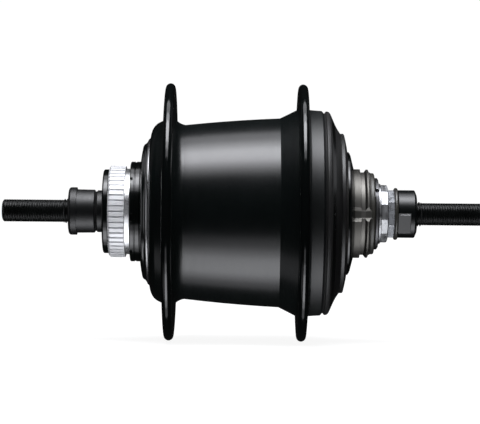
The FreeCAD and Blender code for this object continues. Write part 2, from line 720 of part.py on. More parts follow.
# large sun: held on the axle in this gear by its pawl
zl = int(N("z_sun_l"))
lg = external_gear("large_sun_teeth", zl, -8.3, 3.6, 90.0)
lg_hole = ring_solid("large_sun_bore", -9.0, 4.2, 0.0, CORE + RUN)
lg_saw = flat_extrusion("large_sun_ratchet", saw_wire(20, N("core_rr") + N("run"), 8.9, 210.0 - 15.4), -6.6, 1.6)
done(boolean("Cut", "large_sun_gear", lg, fuse("large_sun_inside", [lg_hole, lg_saw])), "large_sun_gear")

zs = int(N("z_sun_s"))
sg = external_gear("small_sun_teeth", zs, -19.0, -9.4, 90.0)
sg_hole = ring_solid("small_sun_bore", -20.0, -9.0, 0.0, CORE + RUN)
sg_saw = flat_extrusion("small_sun_ratchet", saw_wire(20, N("core_rr") + N("run"), 8.9, 90.0 - 15.4), -17.6, -10.9)
done(boolean("Cut", "small_sun_gear", sg, fuse("small_sun_inside", [sg_hole, sg_saw])), "small_sun_gear")

done(ring_solid("sun_thrust_washer", -9.25, -8.45, CORE + RUN, 9.0), "sun_thrust_washer")

for k, phi in enumerate((90.0, 210.0, 330.0), start=1):
    name = "planet_gear_%d" % k
    za, zb = int(N("z_pl_l")), int(N("z_pl_s"))
    big = external_gear(name + "_large_teeth", za, -19.0, -9.5, 180.0 + 180.0 / za)
    small = external_gear(name + "_small_teeth", zb, -8.6, 3.5, 180.0 + 180.0 / zb)
    neck = ring_solid(name + "_neck", -9.5, -8.6, 0.0, 5.2)
    bore = ring_solid(name + "_bore", -20.0, 4.5, 0.0, D("pin_rr") + RUN)
    g = boolean("Cut", name, fuse(name + "_blank", [big, neck, small]), bore)
    g.Placement = FreeCAD.Placement(polar(CTR, phi), FreeCAD.Rotation(X_AXIS, phi))
    done(g, name)

pins = []
for k, phi in enumerate((90.0, 210.0, 330.0), start=1):
    p = doc.addObject("Part::Cylinder", "planet_pin_%d" % k)
    bind(p, "Radius", D("pin_rr"))
    p.Height = 31.2
    p.Placement = FreeCAD.Placement(V(-23.4, 0, 0) + polar(CTR, phi),
                                    FreeCAD.Rotation(V(0, 1, 0), 90))
    pins.append(p)
pin_set = doc.addObject("Part::Compound", "planet_pins")
pin_set.Links = pins
done(pin_set, "planet_pins")

# carrier: hub, web, roller-clutch cam and plate in one piece, with three posts
carrier = turned("planet_carrier_body", [
    (-34.2, CORE + RUN), (-34.2, 10.5), (-24.4, 10.5), (-24.4, 17.5), (-32.9, 17.5), (-32.9, 21.0),
    (-24.0, 21.0), (-24.0, 27.4), (-19.6, 27.4), (-19.6, CORE + RUN)])
cross(carrier, "carrier_posts", "Pad", -20.2, 3.95, None, 30.0, 3, (19.8, 0.0, 3.4))
cross(carrier, "carrier_pin_holes", "Pocket", -24.4, -19.0, None, 90.0, 3, (CTR, 0.0, D("pin_rr")))
cross(carrier, "carrier_screw_holes", "Pocket", -4.0, 4.5, None, 30.0, 3, (19.8, 0.0, 1.5))
nf = int(N("rc_n"))
corner = N("rc_flat") / math.cos(math.pi / nf)
cam_pts = [polar(corner, 90.0 + 360.0 * (k + 0.5) / nf) for k in range(nf)]
cam_face = Part.makePolygon(cam_pts + [cam_pts[0]])
cam = flat_extrusion("roller_cam_prism", cam_face, -32.9, -23.5)
cam_hole = ring_solid("roller_cam_hole", -33.5, -23.0, 0.0, 20.5)
done(fuse("planet_carrier", [carrier, boolean("Cut", "roller_cam", cam, cam_hole)]), "planet_carrier")

cplate = turned("carrier_plate", [(3.95, CORE + 0.15), (3.95, 24.3), (8.9, 24.3), (8.9, 20.6),
                                  (8.0, 20.6), (8.0, CORE + 0.15)])
sector(cplate, "carrier_dogs", "Revolution", 8.7, 14.8, 20.6, 24.3, 90.0 + 22.5, 29.0, D("dogs"))
cross(cplate, "plate_pin_holes", "Pocket", 3.0, 7.8, None, 90.0, 3, (CTR, 0.0, D("pin_rr")))
cross(cplate, "plate_screw_holes", "Pocket", 3.0, 9.5, None, 30.0, 3, (19.8, 0.0, 1.5))
cross(cplate, "plate_screw_seats", "Pocket", 6.3, 9.5, None, 30.0, 3, (19.8, 0.0, 2.75))
done(cplate, "carrier_plate")

screws = []
for k, phi in enumerate((30.0, 150.0, 270.0), start=1):
    body = turned("carrier_screw_%d" % k, [
        (-3.6, 0), (-3.6, 1.2), (-3.3, 1.5), (6.3, 1.5), (6.3, 2.6), (7.6, 2.6), (7.9, 2.3), (7.9, 0)])
    cross(body, "carrier_screw_socket_%d" % k, "Pocket", 6.9, 8.5,
          [polar(1.35, 60.0 * j)[1:] for j in range(6)], 0.0)
    body.Placement = FreeCAD.Placement(polar(19.8, phi), FreeCAD.Rotation(X_AXIS, phi))
    screws.append(body)
screw_set = doc.addObject("Part::Compound", "carrier_screws")
screw_set.Links = screws
done(screw_set, "carrier_screws")

# ============================================================ roller clutch
rollers, holes = [], []
for k in range(nf):
    phi = 90.0 + 360.0 * k / nf + N("rc_lag")
    p = doc.addObject("Part::Cylinder", "clutch_roller_%d" % (k + 1))
    bind(p, "Radius", D("rc_roll"))
    p.Height = 7.0
    p.Placement = FreeCAD.Placement(V(-32.5, 0, 0) + polar(D("rc_pr"), phi), FreeCAD.Rotation(V(0, 1, 0), 90))
    rollers.append(p)
    h = doc.addObject("Part::Cylinder", "clutch_window_%d" % (k + 1))
    bind(h, "Radius", D("rc_roll") + 0.06)
    h.Height = 7.1
    h.Placement = FreeCAD.Placement(V(-32.55, 0, 0) + polar(D("rc_pr"), phi), FreeCAD.Rotation(V(0, 1, 0), 90))
    holes.append(h)
roller_set = doc.addObject("Part::Compound", "clutch_rollers")
roller_set.Links = rollers
done(roller_set, "clutch_rollers")
window_set = doc.addObject("Part::Compound", "clutch_windows")
window_set.Links = holes
cage_blank = ring_solid("roller_cage_blank", -33.15, -24.6, 23.55, 26.55)
done(boolean("Cut", "roller_cage", cage_blank, window_set), "roller_cage")

# =================================================================== driver
SEAT = D("seat_rr")
driver = turned("driver", [
    (10.5, 16.2), (10.5, 20.0), (21.0, 20.0), (21.0, 24.5), (24.0, 24.5), (24.0, 20.0), (29.4, 20.0),
    (31.0, 22.8), (36.2, 28.0), (37.3, 28.0), (37.3, 18.6), (39.6, 18.6), (39.6, D("cap_seat_rr")),
    (42.85, D("cap_seat_rr")), (42.85, SEAT), (45.35, SEAT), (45.45, 16.05),
    (46.95, 16.05), (47.25, 16.5), (47.8, 17.15), (48.35, 17.2), (48.6, 16.95), (48.85, 16.2), (49.4, 16.0),
    (49.4, 14.3), (45.6, 14.3), (42.2, 10.9), (36.0, 10.9), (36.0, 13.4), (21.2, 13.4), (21.2, 16.2)])
race(driver, "driver_outer_race", D("ob_x"), D("ob_pr"), D("ball_rr") + D("ball_gap"))
race(driver, "driver_inner_race", D("rb_x"), D("rb_pr"), D("ball_rr") + D("ball_gap"))
half_slot = D("slot_w") / 2.0
cross(driver, "driver_slots", "Pocket", 10.0, 20.6,
      [(15.0, -half_slot), (21.0, -half_slot), (21.0, half_slot), (15.0, half_slot)], 90.0, D("dogs"))
# keyways with sloping sides
half_key, half_floor = D("key_w") / 2.0, D("key_floor_w") / 2.0
wide = half_key + (half_key - half_floor) * (19.0 - 17.05) / (17.05 - N("key_floor"))
cross(driver, "driver_keyways", "Pocket", 42.85, 50.0,
      [(D("key_floor"), -half_floor), (19.0, -wide), (19.0, wide), (D("key_floor"), half_floor)], 181.2, 3)
done(driver, "driver")

ddc = turned("driver_dust_cap", [
    (39.8, 23.9), (40.9, 23.9), (41.3, 23.4), (41.65, 22.6), (42.0, 21.2), (42.4, 19.6), (42.72, 18.35),
    (42.85, D("cap_seat_rr")), (41.4, D("cap_seat_rr")), (41.1, 19.4), (40.75, 21.2), (40.5, 22.6), (40.25, 23.2),
    (39.8, 23.2)])
done(ddc, "driver_dust_cap")

ds = turned("driver_seal", [
    (49.4, 13.8), (49.4, 15.8), (50.9, 15.8), (50.9, 14.6), (50.3, 14.0), (50.3, 13.45), (49.9, 13.45)])
soften(ds, "driver_seal_round", [(50.9, 15.8)], 0.6)
done(ds, "driver_seal")

right_cone = turned("right_cone", [
    (42.3, CORE + 0.02), (42.3, 7.65), (42.35, 7.7), (47.6, 12.95), (47.9, 13.2), (50.35, 13.2), (50.35, CORE + 0.02)])
race(right_cone, "right_cone_race", D("rb_x"), D("rb_pr"), D("ball_rr") + D("ball_gap"))
done(right_cone, "right_cone")

balls("right_inner_balls", D("rb_x"), D("rb_pr"), D("ball_rr"), D("rb_n"), 10.0)
ball_cage("right_inner_ball_cage", D("rb_x"), D("rb_pr"), D("ball_rr"), D("rb_n"), 1.0, 2.95, 10.0)
balls("right_outer_balls", D("ob_x"), D("ob_pr"), D("ball_rr"), D("ob_n"), 3.0)
ball_cage("right_outer_ball_cage", D("ob_x"), D("ob_pr"), D("ball_rr"), D("ob_n"), 1.0, 3.0, 3.0)

# ============================================================ clutch and shift
half_arm = D("arm_w") / 2.0
clutch = turned("clutch_ring", [
    (14.5, 10.5), (14.5, 15.9), (20.5, 15.9), (20.5, 8.3), (16.4, 8.3), (16.4, 10.5)])
cross(clutch, "clutch_arms", "Pad", 15.5, 19.5,
      [(15.0, -half_arm), (24.1, -half_arm), (24.1, half_arm), (15.0, half_arm)], 90.0, D("dogs"))
done(clutch, "clutch_ring")

pusher = turned("cam_pusher", [
    (20.6, CORE + RUN), (20.6, 12.6), (22.4, 12.6), (22.4, 11.3), (31.0, 11.3), (31.0, 9.5), (22.4, 9.5),
    (22.4, CORE + RUN)])
sector(pusher, "pusher_keys", "Revolution", 20.6, 22.4, 6.45, CORE + 0.3, 90.0, 8.0, 3)
pusher_pins = []
for k, phi in enumerate((90.0, 210.0, 330.0), start=1):
    p = doc.addObject("Part::Cylinder", "pusher_pin_%d" % k)
    p.Radius = 1.1
    p.Height = 2.0
    p.Placement = FreeCAD.Placement(V(28.6, 0, 0) + polar(8.0, phi),
                                    FreeCAD.Rotation(V(0, 0, 1), polar(1.0, phi)))
    pusher_pins.append(p)
done(fuse("cam_pusher_whole", [pusher] + pusher_pins), "cam_pusher")

sleeve = turned("control_sleeve_ring", [(22.7, CORE + RUN), (35.2, CORE + RUN), (35.2, 9.4), (22.7, 9.4)])
sector(sleeve, "sleeve_lugs", "Revolution", 24.0, 34.5, 7.0, 7.8, 6.0, 20.0, 3)
sector(sleeve, "sleeve_fingers", "Revolution", -18.4, 52.5, D("groove_rr") + 0.15, CORE - 0.12, 6.0, 20.0, 3)

# helical cam slots: as the sleeve turns by shift_deg the pins move by slide_x
lead = N("slide_x") / N("shift_deg") * 360.0
over = 5.0
cams = []
for k, phi in enumerate((90.0, 210.0, 330.0)):
    steps = 16
    span = N("shift_deg") + 2.0 * over
    for j in range(steps + 1):
        a = -over + span * j / steps
        c = doc.addObject("Part::Cylinder", "cam_slot_%d_%02d" % (k + 1, j))
        c.Radius = 1.3
        c.Height = 2.4
        c.Placement = FreeCAD.Placement(V(28.6 - a / 360.0 * lead, 0, 0) + polar(7.7, phi - a),
                                        FreeCAD.Rotation(V(0, 0, 1), polar(1.0, phi - a)))
        cams.append(c)
done(boolean("Cut", "control_sleeve", sleeve, fuse("cam_slots", cams)), "control_sleeve")

shift = turned("shift_ring", [
    (51.05, CORE - 0.12), (51.05, 13.5), (51.3, 13.9), (52.1, 13.9), (52.5, 13.3), (52.5, CORE - 0.12)])
cross(shift, "shift_ring_notches", "Pocket", 50.5, 53.0,
      [(12.7, -1.6), (15.0, -1.6), (15.0, 1.6), (12.7, 1.6)], 143.0, 3)
done(shift, "shift_ring")

fix = turned("fixing_ring", [
    (52.65, D("groove_rr") + 0.02), (52.65, 11.7), (53.35, 11.7), (53.45, 11.45), (55.75, 11.45), (56.2, 10.4),
    (56.2, D("groove_rr") + 0.02)])
cross(fix, "fixing_ring_flats", "Pocket", 53.5, 57.0,
      [(11.0, -4.0), (13.0, -4.0), (13.0, 4.0), (11.0, 4.0)], 176.5, 12)
done(fix, "fixing_ring")

# the coil follows short straight runs, twenty to a turn
runs, coil_turns, coil_pitch, coil_rr, coil_x = 20, 3.6, 1.75, 9.4, 9.0
spring_path = doc.addObject("Part::Polygon", "clutch_spring_path")
spring_path.Nodes = [V(coil_x + coil_pitch * k / runs, 0, 0) + polar(coil_rr, 360.0 * k / runs)
                     for k in range(int(round(coil_turns * runs)) + 1)]
spring_path.Close = False
wire_sec = doc.addObject("Part::Circle", "clutch_spring_wire")
wire_sec.Radius = 0.55
first, second = spring_path.Nodes[0], spring_path.Nodes[1]
wire_sec.Placement = FreeCAD.Placement(first, FreeCAD.Rotation(V(0, 0, 1), second - first))
doc.recompute()
spring = doc.addObject("Part::Sweep", "clutch_spring")
spring.Sections = [wire_sec]
spring.Spine = (spring_path, ["Edge%d" % (k + 1) for k in range(len(spring_path.Shape.Edges))])
spring.Solid = True
spring.Transition = "Right corner"
done(spring, "clutch_spring")

# =================================================================== right end
hexr = N("hex_af") / 2.0 / math.cos(math.radians(30.0))
hexpts = [polar(hexr, 90.0 + 60.0 * k) for k in range(6)]
hexn = flat_extrusion("right_lock_nut_hex", Part.makePolygon(hexpts + [hexpts[0]]), 56.2, 58.75)
hexc = turned("right_lock_nut_round", [(56.2, T), (56.2, hexr - 0.45), (56.5, hexr + 0.1), (58.4, hexr + 0.1),
                                       (58.75, hexr - 0.5), (58.75, T)])
common = doc.addObject("Part::MultiCommon", "right_lock_nut")
common.Shapes = [hexn, hexc]
done(common, "right_lock_nut")

rub = turned("rubber_ring", [(58.75, T), (58.75, 9.3), (58.8, 10.1), (60.15, 10.1), (60.2, 9.3), (60.2, T)])
soften(rub, "rubber_round", [(58.8, 10.1), (60.15, 10.1)], 0.62)
done(rub, "rubber_ring")

rn = turned("right_end_nut", [
    (60.2, T), (60.2, 9.0), (60.45, 9.27), (66.5, 9.27), (66.85, 9.05), (D("old_half"), 7.5), (D("old_half"), T + 0.5),
    (D("old_half") - 0.5, T)])
for k, phi in enumerate((206.5, 26.5)):
    cross(rn, "nut_flat_%d" % k, "Pocket", 60.0, 65.0,
          [(8.2, -6.0), (12.0, -6.0), (12.0, 6.0), (8.2, 6.0)], phi)
done(rn, "right_end_nut")

# ------------------------------------------------------------------ write out
doc.recompute()
bad = []
for o in doc.Objects:
    if any(k in ("Invalid", "Error") for k in o.State):
        bad.append("%s: %s" % (o.Label, o.State))
for name, o in finished:
    shp = o.Shape
    if shp.isNull() or not shp.isValid() or not shp.Solids:
        bad.append("%s: null, invalid or without a solid" % name)
if len(set(n for n, o in finished)) != len(finished):
    bad.append("a name is used twice")
if bad:
    raise RuntimeError("; ".join(bad))
os.makedirs("parts", exist_ok=True)
for name, o in finished:
    o.Shape.exportStep(os.path.join("parts", name + ".step"))
    b = o.Shape.BoundBox
    print("%-24s %2d solids %9.1f mm3  x %7.2f..%7.2f  r %6.2f" % (
        name, len(o.Shape.Solids), o.Shape.Volume, b.XMin, b.XMax, max(b.YMax, b.ZMax, -b.YMin, -b.ZMin)))
print(len(finished), "pieces")
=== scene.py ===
import json
import math

import bpy
import bmesh
import numpy as np
from mathutils import Matrix, Vector


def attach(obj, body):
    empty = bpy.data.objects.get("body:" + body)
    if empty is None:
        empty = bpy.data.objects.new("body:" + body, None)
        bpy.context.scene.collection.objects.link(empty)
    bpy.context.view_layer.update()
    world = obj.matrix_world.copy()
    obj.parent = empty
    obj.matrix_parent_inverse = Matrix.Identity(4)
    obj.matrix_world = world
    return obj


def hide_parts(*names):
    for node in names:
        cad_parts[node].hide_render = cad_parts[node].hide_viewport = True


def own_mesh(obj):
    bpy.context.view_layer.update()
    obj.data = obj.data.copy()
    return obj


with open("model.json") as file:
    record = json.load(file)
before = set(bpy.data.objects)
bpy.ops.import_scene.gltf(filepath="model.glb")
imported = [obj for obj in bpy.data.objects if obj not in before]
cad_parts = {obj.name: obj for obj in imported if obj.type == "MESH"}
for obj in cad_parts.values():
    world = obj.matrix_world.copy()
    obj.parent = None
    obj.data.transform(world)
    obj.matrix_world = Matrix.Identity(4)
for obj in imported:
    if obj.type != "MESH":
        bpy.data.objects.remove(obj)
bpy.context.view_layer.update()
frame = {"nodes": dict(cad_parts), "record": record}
nodes = frame["nodes"]
scene = bpy.context.scene
scene.view_settings.view_transform = "Standard"
scene.view_settings.look = "None"
scene.view_settings.exposure = 0.0
scene.view_settings.gamma = 1.0

MM = 0.001

# ------------------------------------------------------------------ camera
DIST = 0.850
cam_data = bpy.data.cameras.new("camera")
cam_data.sensor_fit = "HORIZONTAL"
cam_data.sensor_width = 36.0
cam_data.lens = DIST * 1000 * 2.568 * 36.0 / 480.0
cam_data.clip_start = 0.05
cam_data.clip_end = 30.0
cam = bpy.data.objects.new("camera", cam_data)
scene.collection.objects.link(cam)
cam.matrix_world = (
    Matrix.Translation((-0.99 * MM, -DIST, 0.20 * MM))
    @ Matrix.Rotation(math.radians(90.0), 4, "X")
    @ Matrix.Rotation(math.radians(0.5357), 4, "Z")
)
scene.camera = cam


# --------------------------------------------------------------- node helpers
class Nodes:
    """Short way to write a node tree."""

    def __init__(self, name):
        self.mat = bpy.data.materials.new(name)
        self.mat.use_nodes = True
        self.t = self.mat.node_tree
        self.t.nodes.clear()
        self.out = self.t.nodes.new("ShaderNodeOutputMaterial")
        self.bsdf = self.t.nodes.new("ShaderNodeBsdfPrincipled")
        self.link(self.bsdf.outputs["BSDF"], self.out.inputs["Surface"])
        self.coord = self.t.nodes.new("ShaderNodeTexCoord").outputs["Object"]

    def link(self, a, b):
        self.t.links.new(a, b)

    def node(self, kind, **props):
        n = self.t.nodes.new(kind)
        for k, v in props.items():
            setattr(n, k, v)
        return n

    def put(self, socket, value):
        if isinstance(value, bpy.types.NodeSocket):
            self.link(value, socket)
        else:
            socket.default_value = value

    def math(self, op, a, b=0.0, c=0.0, clamp=False):
        n = self.node("ShaderNodeMath", operation=op, use_clamp=clamp)
        for s, v in zip(n.inputs, (a, b, c)):
            self.put(s, v)
        return n.outputs[0]

    def xyz(self, vector=None):
        n = self.node("ShaderNodeSeparateXYZ")
        self.link(vector or self.coord, n.inputs[0])
        return n.outputs[0], n.outputs[1], n.outputs[2]

    def vec(self, x, y, z):
        n = self.node("ShaderNodeCombineXYZ")
        for s, v in zip(n.inputs, (x, y, z)):
            self.put(s, v)
        return n.outputs[0]

    def radius(self):
        x, y, z = self.xyz()
        return self.math("SQRT", self.math("ADD", self.math("MULTIPLY", y, y), self.math("MULTIPLY", z, z)))

    def noise(self, scale, detail=3.0, rough=0.55, vector=None, distortion=0.0):
        n = self.node("ShaderNodeTexNoise")
        self.link(vector or self.coord, n.inputs["Vector"])
        n.inputs["Scale"].default_value = scale
        n.inputs["Detail"].default_value = detail
        n.inputs["Roughness"].default_value = rough
        n.inputs["Distortion"].default_value = distortion
        return n.outputs["Fac"]

    def ramp(self, value, lo, hi, out_lo, out_hi, smooth=False):
        n = self.node("ShaderNodeMapRange")
        n.interpolation_type = "SMOOTHSTEP" if smooth else "LINEAR"
        for s, v in zip(n.inputs, (value, lo, hi, out_lo, out_hi)):
            self.put(s, v)
        return n.outputs[0]

    def mix(self, fac, a, b):
        n = self.node("ShaderNodeMix", data_type="RGBA")
        self.put(n.inputs[0], fac)
        for s, v in ((n.inputs[6], a), (n.inputs[7], b)):
            if isinstance(v, bpy.types.NodeSocket):
                self.link(v, s)
            else:
                s.default_value = (*v, 1.0) if len(v) == 3 else v
        return n.outputs[2]

    def lathe(self, along, around=3.0):
        """Noise drawn out round the X axis, as a turning tool leaves it."""
        x, y, z = self.xyz()
        r = self.radius()
        inv = self.math("DIVIDE", 1.0, self.math("ADD", r, 0.0004))
        v = self.vec(
            self.math("MULTIPLY", self.math("ADD", x, self.math("MULTIPLY", r, 0.83)), along),
            self.math("MULTIPLY", self.math("MULTIPLY", y, inv), around),
            self.math("MULTIPLY", self.math("MULTIPLY", z, inv), around),
        )
        n = self.node("ShaderNodeTexNoise")
        self.link(v, n.inputs["Vector"])
        n.inputs["Scale"].default_value = 1.0
        n.inputs["Detail"].default_value = 4.0
        n.inputs["Roughness"].default_value = 0.6
        return n.outputs["Fac"]

    def bump(self, height, strength, distance, normal=None):
        n = self.node("ShaderNodeBump")
        n.inputs["Strength"].default_value = strength
        n.inputs["Distance"].default_value = distance
        self.link(height, n.inputs["Height"])
        if normal is not None:
            self.link(normal, n.inputs["Normal"])
        return n.outputs[0]

    def rounded(self, radius, samples=4):
        n = self.node("ShaderNodeBevel", samples=samples)
        n.inputs["Radius"].default_value = radius
        return n.outputs[0]

    def edge(self, radius, samples=6):
        """0 on open faces, towards 1 at edges."""
        bev = self.rounded(radius, samples)
        geo = self.node("ShaderNodeNewGeometry")
        dot = self.node("ShaderNodeVectorMath", operation="DOT_PRODUCT")
        self.link(bev, dot.inputs[0])
        self.link(geo.outputs["Normal"], dot.inputs[1])
        return self.ramp(dot.outputs["Value"], 0.995, 0.86, 0.0, 1.0)


def by_place(n, areas, value):
    """value outside the given stretches of X (mm), and theirs inside: (x0, x1, inner radius, value)."""
    x, y, z = n.xyz()
    r = n.radius()
    out = value
    for x0, x1, r0, inside in areas:
        a = n.math("GREATER_THAN", x, x0 * MM)
        b = n.math("LESS_THAN", x, x1 * MM)
        c = n.math("GREATER_THAN", r, r0 * MM)
        fac = n.math("MULTIPLY", n.math("MULTIPLY", a, b), c)
        if isinstance(inside, tuple):
            out = n.mix(fac, out, inside)
        else:
            out = n.math("ADD", n.math("MULTIPLY", out, n.math("SUBTRACT", 1.0, fac)), n.math("MULTIPLY", fac, inside))
    return out


def coloured(name, base, rough, metallic=0.0, ior=1.5, spread=0.05, tint=0.12, grain=3500.0, grain_h=0.000004,
             turned=None, turned_h=0.000006, round_r=0.00012, wear=None, wear_col=(0.5, 0.5, 0.5), coat=0.0,
             coat_rough=0.1, spec=0.5, places=(), patch=90.0, wear_r=0.00025, painted_highlight_line=None):
    """A surface finish: colour and roughness that vary a little, fine grain,
    turning marks round X, and lighter edges where wear is given."""
    n = Nodes(name)
    b = n.bsdf
    b.inputs["Metallic"].default_value = metallic
    b.inputs["IOR"].default_value = ior
    b.inputs["Specular IOR Level"].default_value = spec
    if coat:
        b.inputs["Coat Weight"].default_value = coat
        b.inputs["Coat Roughness"].default_value = coat_rough
    cloud = n.noise(patch, 4.0, 0.6)
    fine = n.noise(grain, 2.0, 0.5)
    lo = tuple(c * (1.0 - tint) for c in base)
    hi = tuple(min(1.0, c * (1.0 + tint)) for c in base)
    col = n.mix(n.ramp(cloud, 0.3, 0.7, 0.0, 1.0), lo, hi)
    rgh = n.ramp(cloud, 0.3, 0.7, rough - spread, rough + spread)
    height = n.math("MULTIPLY", fine, 1.0)
    normal = n.rounded(round_r) if round_r else None
    if turned:
        marks = n.lathe(turned)
        rgh = n.math("ADD", rgh, n.ramp(marks, 0.3, 0.7, -spread, spread), clamp=True)
        col = n.mix(n.ramp(marks, 0.35, 0.75, 0.0, 0.45), col, tuple(min(1.0, c * (1.0 + 1.6 * tint)) for c in base))
        normal = n.bump(marks, 0.6, turned_h, normal)
    if wear:
        e = n.edge(wear_r)
        worn = n.ramp(n.noise(420.0, 4.0, 0.65), 0.42, 0.6, 0.15, 1.0)
        fac = n.math("MULTIPLY", n.math("MULTIPLY", e, worn), wear, clamp=True)
        col = n.mix(fac, col, wear_col)
    if places:
        col = by_place(n, [(p[0], p[1], p[2], p[3]) for p in places], col)
        rgh = by_place(n, [(p[0], p[1], p[2], p[4]) for p in places], rgh)
        n.link(by_place(n, [(p[0], p[1], p[2], p[5]) for p in places], metallic), b.inputs["Metallic"])
    if painted_highlight_line:
        # painted highlight: a narrow light line along X on the near side, standing in for the glint on the upper edge
        # of the end nut's flat: (x0, x1, z, half width) in mm
        x, y, z = n.xyz()
        wander = n.ramp(n.noise(900.0, 2.0, 0.5), 0.3, 0.7, -0.12 * MM, 0.12 * MM)
        off = n.math("ABSOLUTE", n.math("ADD", n.math("SUBTRACT", z, painted_highlight_line[2] * MM), wander))
        fac = n.math("MULTIPLY", n.math("LESS_THAN", off, painted_highlight_line[3] * MM), n.math("LESS_THAN", y, -7.0 * MM))
        fac = n.math("MULTIPLY", fac, n.math("GREATER_THAN", x, painted_highlight_line[0] * MM))
        fac = n.math("MULTIPLY", fac, n.math("LESS_THAN", x, painted_highlight_line[1] * MM))
        col = n.mix(n.math("MULTIPLY", fac, 0.9), col, (0.75, 0.76, 0.76))
    n.link(col, b.inputs["Base Color"])
    n.link(rgh, b.inputs["Roughness"])
    normal = n.bump(height, 0.5, grain_h, normal)
    n.link(normal, b.inputs["Normal"])
    return n.mat


M = {}
M["shell_black"] = coloured("shell_black", (0.0028, 0.0042, 0.0042), 0.25, ior=1.5, spread=0.012, grain=5200.0,
                            grain_h=0.0000012, turned=900.0, turned_h=0.0000003,
                            places=[(-36.0, 30.0, 44.5, (0.0025, 0.0034, 0.0034), 0.11, 0.0),
                                    (24.9, 31.3, 38.0, (0.0028, 0.0042, 0.0042), 0.43, 0.0)])
M["gloss_black"] = coloured("gloss_black", (0.002, 0.0027, 0.0025), 0.16, ior=1.5, spread=0.02, grain=2600.0,
                            grain_h=0.000002, turned=700.0, turned_h=0.000001,
                            places=[(-36.65, -35.0, 25.4, (0.3, 0.3, 0.305), 0.27, 1.0),
                                    (31.05, 33.75, 38.0, (0.012, 0.012, 0.012), 0.46, 0.0),
                                    (35.1, 41.0, 24.0, (0.006, 0.006, 0.006), 0.42, 0.0)])
M["bright_aluminium"] = coloured("bright_aluminium", (0.88, 0.885, 0.9), 0.42, metallic=0.6, spread=0.06, tint=0.05,
                                 turned=1500.0, turned_h=0.000004,
                                 places=[(-51.8, -45.35, 0.0, (0.80, 0.805, 0.82), 0.5, 0.35),
                                         (-45.35, -43.3, 0.0, (0.76, 0.765, 0.78), 0.26, 0.9)])
M["axle_black"] = coloured("axle_black", (0.003, 0.0036, 0.0034), 0.31, ior=1.4, spread=0.07, tint=0.3, grain=2400.0,
                           grain_h=0.000008, round_r=0.0, wear=0.0)
M["nut_black"] = coloured("nut_black", (0.0035, 0.004, 0.0042), 0.4, ior=1.46, spread=0.04, tint=0.15, turned=1300.0,
                          turned_h=0.000003, round_r=0.00004,
                          # painted highlight: a light line along the upper edge of the end nut's flat
                          painted_highlight_line=(60.9, 64.7, -0.42, 0.12),
                          places=[(60.21, 68.0, 0.0, (0.0024, 0.0032, 0.0032), 0.29, 0.0),
                                  # painted shade: the stretch at the gap between the left nut and its washer is pure
                                  # black and fully rough
                                  (-57.35, -56.3, 0.0, (0.0, 0.0, 0.0), 1.0, 0.0)])
M["driver_grey"] = coloured("driver_grey", (0.091, 0.088, 0.081), 0.47, metallic=1.0, spread=0.05, tint=0.12,
                            turned=1300.0, turned_h=0.000004, wear=0.5, wear_col=(0.42, 0.42, 0.41),
                            # painted light: the floor of the groove next to the sprocket seat is coloured lighter than
                            # the rest of the driver
                            places=[(45.4, 47.1, 15.5, (0.129, 0.125, 0.116), 0.47, 1.0)])
M["zinc"] = coloured("zinc", (0.27, 0.274, 0.282), 0.37, metallic=1.0, spread=0.1, tint=0.35, turned=900.0,
                     turned_h=0.000004, grain=900.0, grain_h=0.0001, patch=600.0)
# near-white edges: partly worn plating, partly a painted highlight along the hex edges
M["blue_zinc"] = coloured("blue_zinc", (0.40, 0.415, 0.44), 0.3, metallic=0.8, spread=0.08, tint=0.25, grain=1400.0,
                          grain_h=0.00003, round_r=0.0003, wear=1.0, wear_col=(0.9, 0.91, 0.93), patch=500.0,
                          wear_r=0.0004)
M["shift_dark"] = coloured("shift_dark", (0.075, 0.075, 0.078), 0.38, metallic=1.0, spread=0.06, tint=0.16,
                           wear=0.6, wear_col=(0.5, 0.5, 0.5))
M["gear_steel"] = coloured("gear_steel", (0.46, 0.46, 0.455), 0.3, metallic=1.0, spread=0.06, tint=0.08,
                           turned=1500.0, turned_h=0.000004)
M["bearing_steel"] = coloured("bearing_steel", (0.72, 0.72, 0.73), 0.12, metallic=1.0, spread=0.03, tint=0.04)
M["cage_brass"] = coloured("cage_brass", (0.66, 0.47, 0.2), 0.3, metallic=1.0, spread=0.06, tint=0.08)
M["rubber"] = coloured("rubber", (0.032, 0.031, 0.026), 0.38, ior=1.55, spread=0.06, tint=0.25, grain=2200.0,
                       grain_h=0.00001, round_r=0.0)
M["cage_plastic"] = coloured("cage_plastic", (0.09, 0.08, 0.065), 0.5, ior=1.46, spread=0.05, tint=0.12,
                             round_r=0.0)

slot_of = {s["node"]: s.get("material_slot") for s in frame["record"]["subparts"]}
for name, ob in nodes.items():
    mat = M[slot_of.get(name) or "gear_steel"]
    if not ob.material_slots:
        ob.data.materials.append(mat)
    for s in ob.material_slots:
        s.link = "OBJECT"
        s.material = mat


# ------------------------------------------------------------ mesh helpers
def mesh_object(name, verts, faces, mat, body, smooth=True):
    me = bpy.data.meshes.new(name)
    me.from_pydata([tuple(v) for v in verts], [], [tuple(f) for f in faces])
    me.validate()
    me.update()
    ob = bpy.data.objects.new(name, me)
    scene.collection.objects.link(ob)
    me.materials.append(M[mat])
    for p in me.polygons:
        p.use_smooth = smooth
    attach(ob, body)
    return ob


